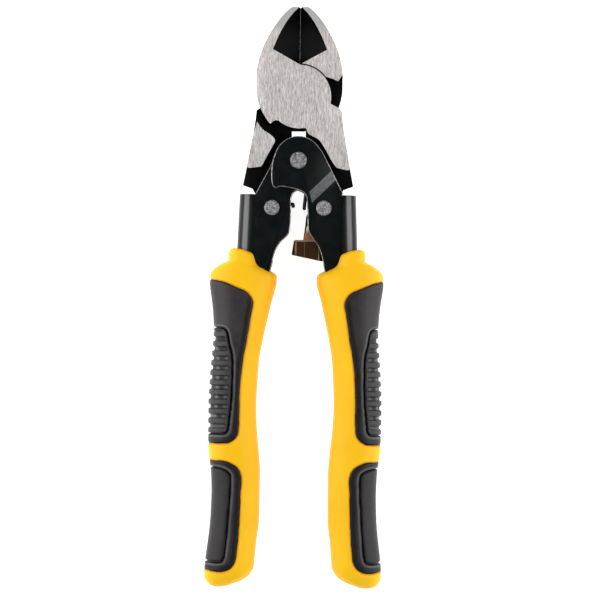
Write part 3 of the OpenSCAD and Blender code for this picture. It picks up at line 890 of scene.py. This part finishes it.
LATCH_T = 0.7
LATCH_Z = 2.5  # inner faces of the latch's two plates, from the mid-plane
LATCH_SWING = 32  # degrees from rest to the catch pin
HOOK_HALF = 1.35
FOLD_Y = 20.7  # where the thumb tab starts
LATCH_EYE = arc(LINK, 4.2, -10, 200, 40)
LATCH_TAB = ([(1.0, 20.75), (-0.6, 20.75)] + arc((-0.7, 20.1), 0.6, 92, 175, 6)
             + [(-1.95, 15.9)] + arc((-1.5, 15.75), 0.45, 180, 260, 4)
             + [(9.1, 13.15), (9.45, 15), (8.7, 18.2), (8.4, 22), (12.6, 28.5)])


def curl_tab(bm):
    """Curls the tab's ends back and creases its face."""
    for v in bm.verts:
        x, y = v.co.x, v.co.y
        if y < FOLD_Y:
            dip = 1.5 * max(0.0, (-0.2 - x) / 1.75) ** 1.6 + 0.9 * max(0.0, (x - 7.8) / 1.6) ** 1.4
            crease = 0.14 * (1 - min(1, abs(x - 2.6) / 2.6))
            v.co.z += (crease - dip) * min(1, (FOLD_Y - y) / 0.8)


def latch_front():
    """The front plate, with a slim arm and the thumb tab."""
    arm = spline([(5.0, 29.8), (4.3, 28.2), (3.3, 25), (2.5, 21.4), (2.1, 20.8)])
    bm = prism(LATCH_EYE + arm + LATCH_TAB, LATCH_Z, LATCH_Z + LATCH_T)
    for x in np.arange(-1.6, 9.4, 0.4):
        cut_faces(bm, (x, 0, 0), (1, 0, 0))
    for y in (20.65, 20.4, 20.1, 19.8, 17, 15):
        cut_faces(bm, (0, y, 0), (0, 1, 0))
    curl_tab(bm)
    return soften(bm, 0.12, angle=50)


def latch_rear():
    """The rear plate, with the slot that hooks the catch pin."""
    arm = spline([(4.6, 30.8), (3.3, 30), (3.0, 28.6), (2.8, 26.5), (2.6, 24.6), (2.3, 22.5), (2.1, 20.8)])
    reach = math.dist(LINK, CATCH)
    to_catch = math.degrees(math.atan2(LINK[0] - CATCH[0], LINK[1] - CATCH[1]))
    at_rest = 270 - (to_catch - LATCH_SWING)
    hook = (arc(LINK, reach + HOOK_HALF, at_rest, at_rest - 25, 16)
            + arc(LINK, reach - HOOK_HALF, at_rest - 25, at_rest, 16))
    angle = math.radians(at_rest)
    blind_end = (LINK[0] + reach * math.cos(angle), LINK[1] + reach * math.sin(angle))
    cutters = [prism(hook, -5, -1), prism(arc(blind_end, HOOK_HALF, 0, 360, 32)[:-1], -5, -1)]
    blank = prism(LATCH_EYE + arm + LATCH_TAB, -LATCH_Z - LATCH_T, -LATCH_Z)
    bm = soften(combine(blank, cutters, "DIFFERENCE"), 0.12, angle=50)
    # The rear plate is dark zinc: painted shade behind the front plate.
    for f in bm.faces:
        f.material_index = 1
    return bm


def lock_latch():
    """Folded zinc-plated sheet: two plates joined by a web."""
    outline = filleted([(8.5, 13.4), (9.1, 13.3), (9.4, 15), (9.1, 16.7), (8.5, 16.7)], 0.2)
    web = soften(prism(outline, -LATCH_Z - 0.2, LATCH_Z - 0.2), 0.1, angle=50)
    obj = to_object("lock_latch_sheet", latch_front(), latch_rear(), web)
    finish_piece(obj, "latch", ["lock_latch"], [ZINC, SHADED_ZINC])


# ---- grips

# Place along the grip, its outer and inner faces from the centre line, and its half thickness
STATIONS = np.array([
    (17.5, 23.0, 22.0, 5.9), (17.35, 23.6, 20.8, 6.9), (17.0, 24.1, 19.0, 7.5), (16.4, 24.5, 16.9, 7.9),
    (15.4, 24.7, 15.1, 8.15), (14.2, 24.7, 14.6, 8.3), (13.0, 24.8, 14.2, 8.4), (12.4, 26.0, 13.9, 8.5),
    (11.8, 27.3, 13.5, 8.6), (11.0, 28.6, 12.6, 8.75), (10.2, 29.6, 11.0, 8.9), (9.4, 30.4, 9.3, 9.0),
    (8.6, 30.9, 7.9, 9.1), (7.6, 31.1, 7.15, 9.2), (5, 31.3, 7.2, 9.35), (2, 31.0, 7.9, 9.45),
    (-2, 30.4, 9, 9.5), (-8, 29.8, 10.3, 9.5), (-12, 29.65, 11.2, 9.5), (-16, 29.8, 12, 9.5),
    (-22, 30.3, 13, 9.5), (-31, 30.9, 13.6, 9.5), (-38, 31.2, 13.9, 9.5), (-45, 31.2, 13.7, 9.5),
    (-51, 31.1, 13.2, 9.5), (-57, 30.7, 12.6, 9.5), (-63, 30.0, 12.2, 9.5), (-71, 29.75, 12.2, 9.5),
    (-80, 30.05, 12.3, 9.5), (-88, 30.85, 13.2, 9.5), (-94, 31.6, 13.7, 9.45), (-97, 31.8, 14.0, 9.3),
    (-98.7, 31.9, 14.8, 9.1), (-100, 31.85, 15.7, 8.8), (-101, 31.7, 16.9, 8.3), (-102.2, 31.1, 18.9, 7.6),
    (-103.05, 30.4, 21.3, 6.6), (-103.6, 29.8, 22.6, 5.5), (-104, 28.9, 23.8, 4.2),
    (-104.25, 27.6, 25.2, 2.4)])[::-1]
# Edge of each region on the left grip: place along it and distance from the centre line
UPPER = [(6.3, 31), (5.6, 27.5), (4.6, 24.5), (3.3, 21.4), (2.4, 19.2), (1.2, 17.5), (-0.6, 16.3),
         (-2.8, 15.9), (-8, 16.8), (-16, 18), (-22, 19.1), (-31, 20.0), (-40, 20.2), (-47.5, 20.4),
         (-50.3, 21.3), (-52, 23.4), (-52.6, 26), (-52.6, 31)]
LOWER = [(-58.4, 31), (-58.7, 26), (-59.3, 23.4), (-60.6, 21), (-62.6, 19.5), (-65.4, 18.95), (-71, 19.2),
         (-80, 19.5), (-90, 20.1), (-94, 20.6), (-96.8, 22), (-98.3, 24.4), (-98.6, 27.4), (-98.0, 31)]
RIBS = [(-11.2, 31), (-11.4, 27), (-12.0, 25.4), (-13.3, 24.7), (-17, 24.0), (-21.6, 22.9), (-30, 22.8),
        (-37, 23.0), (-43, 23.6), (-47, 24.0), (-48.3, 24.6), (-48.8, 26.2), (-48.9, 31)]
PALM = [(-61.2, 31), (-61.5, 27.6), (-62.4, 24.5), (-63.4, 23.4), (-65, 23.0), (-71, 23.1), (-80, 23.7),
        (-91, 24.6), (-93.6, 25.1), (-94.8, 26.4), (-94.6, 31)]
# How far the upper pad, lower pad, ribs and palm panel are shifted round each grip
GRIP_ROLL = {"left": (0.5, 0.3, 0.0, 0.0), "right": (-1.3, -0.75, -2.2, -0.9)}
SQUARE = 2.5  # exponent of the grip's section; 2 is an ellipse
COLUMNS = 176  # points round the grip


def pchip(x, xs, ys):
    """Monotone cubic interpolation through a table."""
    h = np.diff(xs)
    d = np.diff(ys) / h
    m = np.zeros_like(ys)
    same = d[:-1] * d[1:] > 0
    w1, w2 = (2 * h[1:] + h[:-1])[same], (h[1:] + 2 * h[:-1])[same]
    m[1:-1][same] = (w1 + w2) / (w1 / d[:-1][same] + w2 / d[1:][same])
    m[0], m[-1] = d[0], d[-1]
    i = np.clip(np.searchsorted(xs, x) - 1, 0, len(h) - 1)
    t = (x - xs[i]) / h[i]
    return ((2 * t ** 3 - 3 * t * t + 1) * ys[i] + (t ** 3 - 2 * t * t + t) * h[i] * m[i]
            + (3 * t * t - 2 * t ** 3) * ys[i + 1] + (t ** 3 - t * t) * h[i] * m[i + 1])


def section(y):
    """Middle, half width and half thickness of the grip at y."""
    outer, inner, thick = (pchip(y, STATIONS[:, 0], STATIONS[:, k]) for k in (1, 2, 3))
    return (outer + inner) / 2, (outer - inner) / 2, thick


def power(v, p):
    """A power that keeps the sign."""
    return np.sign(v) * np.abs(v) ** p


def grip_grid(ys):
    """Base surface of the left grip: points, outward normals and distance round it."""
    t = np.linspace(-math.pi, math.pi, 1441)
    points, around = [], []
    for y in ys:
        mid, half, thick = section(np.array([y]))
        x = -mid - half * power(np.cos(t), 2 / SQUARE)
        z = thick * power(np.sin(t), 2 / SQUARE)
        length = np.concatenate([[0], np.cumsum(np.hypot(np.diff(x), np.diff(z)))])
        want = np.linspace(0, length[-1], COLUMNS + 1)[:-1]
        points.append(np.stack([np.interp(want, length, x), np.full(COLUMNS, y),
                                np.interp(want, length, z)], 1))
        around.append(want - length[-1] / 2)
    p = np.array(points)
    dt = np.roll(p, -1, 1) - np.roll(p, 1, 1)
    dy = np.gradient(p, axis=0)
    normal = np.cross(dt, dy)
    normal /= np.linalg.norm(normal, axis=2)[..., None] + 1e-12
    away = p.copy()
    away[..., 0] += section(p[:, 0, 1])[0][:, None]
    away[..., 1] = 0
    if np.sum(normal * away) < 0:
        normal = -normal
    return p, normal, np.array(around)


def around_of(y, across):
    """Distance round the section from its outer face to this far from the centre line."""
    mid, half, thick = (float(v[0]) for v in section(np.array([y])))
    c = np.clip((across - mid) / half, -1, 1)
    end = math.acos(power(c, SQUARE / 2))
    t = np.linspace(0, end, 200)
    x, z = half * power(np.cos(t), 2 / SQUARE), thick * power(np.sin(t), 2 / SQUARE)
    return float(np.sum(np.hypot(np.diff(x), np.diff(z))))


def inside_distance(table, around, ys):
    """Signed distance to a region's edge on the unrolled surface, positive inside."""
    edge = spline([(around_of(y, a), y) for y, a in table], 0.6)
    edge[0], edge[-1] = (0.0, edge[0][1]), (0.0, edge[-1][1])
    loop = np.array(edge)
    loop = np.vstack([loop, loop[::-1] * [-1, 1]])
    q = np.stack([around, np.broadcast_to(ys[:, None], around.shape)], -1)
    best = np.full(around.shape, 1e9)
    inside = np.zeros(around.shape, bool)
    for a, b in zip(loop, np.roll(loop, -1, 0)):
        ab = b - a
        size = np.dot(ab, ab)
        if size < 1e-12:
            continue
        f = np.clip(((q - a) @ ab) / size, 0, 1)
        best = np.minimum(best, np.linalg.norm(q - a - f[..., None] * ab, axis=-1))
        crosses = (a[1] > q[..., 1]) != (b[1] > q[..., 1])
        if a[1] != b[1]:
            x = a[0] + (q[..., 1] - a[1]) / (b[1] - a[1]) * ab[0]
            inside ^= crosses & (q[..., 0] < x)
    return np.where(inside, best, -best)


def step(v, low, high):
    """Smooth rise from 0 at low to 1 at high."""
    t = np.clip((v - low) / (high - low), 0, 1)
    return t * t * (3 - 2 * t)


def round_edge(d, radius):
    """Height lost by a rounded edge at distance d inside it."""
    t = np.clip(1 - d / radius, 0, 1)
    return radius * (1 - np.sqrt(1 - t * t))


def tone_layers(bm):
    """Two numbers for each point: how much painted shade and how much painted highlight."""
    return bm.verts.layers.float.new("painted_shade"), bm.verts.layers.float.new("painted_highlight")


def closed_tube(points, shade):
    """Closed solid through a grid that runs all the way round."""
    bm = bmesh.new()
    layer = tone_layers(bm)[0]
    rows = []
    for row, tones in zip(points, shade):
        rows.append([bm.verts.new(q) for q in row])
        for v, tone in zip(rows[-1], tones):
            v[layer] = tone
    return close_round(bm, rows)


def closed_patch(outer, inner, mask, shade, painted_highlight):
    """Closed solid over a grid's cells with all corners in the mask."""
    bm = bmesh.new()
    layer, pale = tone_layers(bm)
    rows, cols = mask.shape
    made = {}

    def vert(side, r, c):
        """The vertex at a grid cell's corner, made once."""
        key = (side, r, c % cols)
        if key not in made:
            made[key] = bm.verts.new((outer, inner)[side][r, c % cols])
            made[key][layer] = shade[r, c % cols]
            made[key][pale] = painted_highlight[r, c % cols]
        return made[key]

    right = np.roll(mask, -1, 1)
    cell = mask[:-1] & mask[1:] & right[:-1] & right[1:]
    for r, c in zip(*np.nonzero(cell)):
        bm.faces.new([vert(0, r, c), vert(0, r, c + 1), vert(0, r + 1, c + 1), vert(0, r + 1, c)])
        bm.faces.new([vert(1, r, c), vert(1, r + 1, c), vert(1, r + 1, c + 1), vert(1, r, c + 1)])
        walls = (((r, c - 1), (r, c), (r + 1, c)), ((r, c + 1), (r + 1, c + 1), (r, c + 1)),
                 ((r - 1, c), (r, c + 1), (r, c)), ((r + 1, c), (r + 1, c), (r + 1, c + 1)))
        for (nr, nc), start, end in walls:
            if 0 <= nr < rows - 1 and cell[nr, nc % cols]:
                continue
            bm.faces.new([vert(0, *start), vert(0, *end), vert(1, *end), vert(1, *start)])
    bmesh.ops.recalc_face_normals(bm, faces=bm.faces)
    return bm


def grip_rows():
    """Heights of the grid's rows, closest where the shoulder turns."""
    bottom, top = STATIONS[0, 0], STATIONS[-1, 0]
    return np.concatenate([np.linspace(top, 12.8, 24)[:-1], np.linspace(12.8, 7, 30)[:-1],
                           np.arange(7, -98, -0.34), np.linspace(-98, bottom, 36)])


def core_surface(pad, around):
    """Height and painted orange shade of the core, which dips under the pads; the shade also runs along the
    inner side.
    """
    girth = around.max(axis=1)[:, None]
    # Painted shade: orange where the core rolls down to the pads and along its inner side.
    orange_shade = np.maximum(0.75 * step(pad, -0.7, -0.05), 0.22 * step(np.abs(around), girth - 7, girth - 5))
    height = -1.7 * step(pad, -0.05, 0.5) - 0.8 * round_edge(-pad, 0.65) * (pad <= 0)
    return height, orange_shade


def pad_surface(region, panel, y):
    """Height, painted shade and painted highlight of a pad, with a painted highlight on the lip round its
    panel.
    """
    low = -0.03 - 0.8 * round_edge(region, 0.7) - 1.6 * step(-region, 0.0, 0.35)
    lip = 0.02 * step(panel, -1.3, -0.9)
    moat = -1.0 * step(panel, -0.62, -0.3)
    # Painted shade: a dark strip along the pad's inner edge, and darkness at its edge and in the moat.
    painted_shade_strip = 0.9 * (1 - step(region, 1.5, 2.8)) * step(-y, -2.0, 3.0)
    painted_shade = np.maximum(1 - step(region, 0.15, 0.6), step(panel, -0.75, -0.35))
    # Painted highlight on the lip round the panel.
    painted_highlight = 0.42 * step(panel, -1.6, -1.1) * (1 - step(panel, -0.95, -0.7))
    return low + lip + moat, np.maximum(painted_shade, painted_shade_strip), painted_highlight


def rib_surface(ribs, y):
    """Height, painted shade and painted highlight of the ribbed panel: shaded pockets holding painted
    highlight spots.
    """
    pitch, first = 3.46, -15.1
    phase = ((y - first) / pitch) % 1.0
    from_pocket = np.minimum(phase, 1 - phase)
    bar = step(from_pocket, 0.17, 0.27)
    inside = np.clip(ribs, 0, None)
    pocket = (1 - bar) * step(inside, 0.7, 1.3)
    height = -0.02 - 0.75 * pocket - 0.5 * round_edge(ribs, 0.5) - 1.2 * step(-ribs, -0.02, 0.2)
    # Painted shade in the pockets and round the panel's edge.
    painted_shade = np.maximum(0.75 * pocket, 0.9 * (1 - step(ribs, 0.0, 0.3)))
    # Spots in the pockets and the faint lightening of the bars are painted highlights.
    inner_highlight = np.exp(-((inside - 2.1) / 0.8) ** 2) * step(-y, 18.0, 22.0)
    outer_highlight = np.exp(-((inside - 6.2) / 0.9) ** 2)
    spots = np.maximum(0.5 * inner_highlight, 0.75 * outer_highlight) * (1 - step(from_pocket, 0.1, 0.2))
    return height, painted_shade, np.maximum(spots, 0.13 * bar * step(ribs, 0.2, 0.5))


def palm_surface(palm):
    """Height, painted shade and painted highlight (none) of the smooth panel."""
    height = -0.12 - 0.7 * round_edge(palm, 0.7) - 1.2 * step(-palm, -0.02, 0.2)
    return height, 0.8 * (1 - step(palm, 0.0, 0.35)), np.zeros(palm.shape)


def grip_pieces(roll):
    """All pieces of the left grip by name, as bmeshes, each region rolled round a little."""
    ys = grip_rows()
    p, n, around = grip_grid(ys)
    upper, lower, ribs, palm = (inside_distance(table, around - turn, ys)
                                for table, turn in zip((UPPER, LOWER, RIBS, PALM), roll))
    y = ys[:, None]

    def patch(region, margin, depth, height, painted_shade, painted_highlight):
        """Closed piece over a region, from its surface down to a depth."""
        return closed_patch(p + n * height[..., None], p - n * depth, region > -margin, painted_shade, painted_highlight)

    height, orange_shade = core_surface(np.maximum(upper, lower), around)
    return {"grip_core": closed_tube(p + n * height[..., None], orange_shade),
            "upper_pad": patch(upper, 0.6, 2.3, *pad_surface(upper, ribs, y)),
            "lower_pad": patch(lower, 0.6, 2.3, *pad_surface(lower, palm, y)),
            "rib_panel": patch(ribs, 0.25, 2.0, *rib_surface(ribs, y)),
            "palm_panel": patch(palm, 0.25, 2.0, *palm_surface(palm))}


def grips():
    """Both grips; the right one is mirrored, with its own roll."""
    looks = {"grip_core": ("grip_yellow", YELLOW), "upper_pad": ("pad_rubber", PAD),
             "lower_pad": ("pad_rubber", PAD), "rib_panel": ("panel_rubber", PANEL),
             "palm_panel": ("panel_rubber", PANEL)}
    for side, roll in GRIP_ROLL.items():
        for name, bm in grip_pieces(roll).items():
            slot_name, material = looks[name]
            if side == "right":
                mirrored(bm, 0)
            obj = to_object(f"{side}_{name}_moulding", bm)
            finish_piece(obj, f"{side}_handle", [f"{side}_{name}"], [material])


# ---- stage, lights, camera

def area_light(name, place, size, power_w):
    """A softbox aimed at the middle of the tool."""
    data = bpy.data.lights.new(name, "AREA")
    data.shape = "RECTANGLE"
    data.size, data.size_y = size
    data.energy = power_w
    obj = add_object(name, data)
    obj.location = place
    obj.rotation_euler = (-Vector(place)).to_track_quat("-Z", "Y").to_euler()


def floor():
    """The pale floor, slightly self-lit so that it stays white."""
    half = 3.0
    mesh = bpy.data.meshes.new("floor")
    mesh.from_pydata([(-half, -half, 0), (half, -half, 0), (half, half, 0), (-half, half, 0)], [],
                     [(0, 1, 2, 3)])
    obj = add_object("floor", mesh)
    obj.location.z = -0.0004
    n = Nodes("pale_floor")
    colour = n.mix(n.noise(6, 2), (0.78, 0.78, 0.78), (0.82, 0.82, 0.82))
    mesh.materials.append(n.set(Base_Color=colour, Roughness=0.9, Emission_Color=(1.0, 1.0, 1.0),
                                Emission_Strength=0.85))


def studio():
    """The surrounding light and four softboxes."""
    world = bpy.data.worlds.new("studio")
    bpy.context.scene.world = world
    world.use_nodes = True
    background = world.node_tree.nodes["Background"]
    background.inputs["Color"].default_value = (1, 1, 1, 1)
    background.inputs["Strength"].default_value = 0.1
    area_light("left_softbox", (-0.85, 0.1, 0.5), (0.5, 1.2), 9.7)
    area_light("right_softbox", (0.85, 0.0, 0.5), (0.5, 1.2), 8.4)
    area_light("top_softbox", (0.0, 0.95, 0.6), (0.9, 0.4), 2.1)
    area_light("low_fill", (0.0, -0.95, 0.6), (0.9, 0.4), 1.8)


def camera():
    """Looks straight down at the tool, turned and shifted a little."""
    frame_mm = 216.0  # width of the picture at the tool's mid-plane
    distance = 1.3
    sensor = 36
    data = bpy.data.cameras.new("camera")
    data.sensor_width = sensor
    data.lens = sensor * distance / (frame_mm * MM)
    obj = add_object("camera", data)
    obj.location = (1.27 * MM, -0.8 * MM, MID * MM + distance)
    obj.rotation_euler = (0, 0, math.radians(0.82))
    bpy.context.scene.camera = obj


camera()
jaws()
left_channel()
right_channel()
rivets()
pins()
spacers()
return_spring()
lock_latch()
grips()
floor()
studio()
bpy.context.scene.view_settings.view_transform = "Standard"
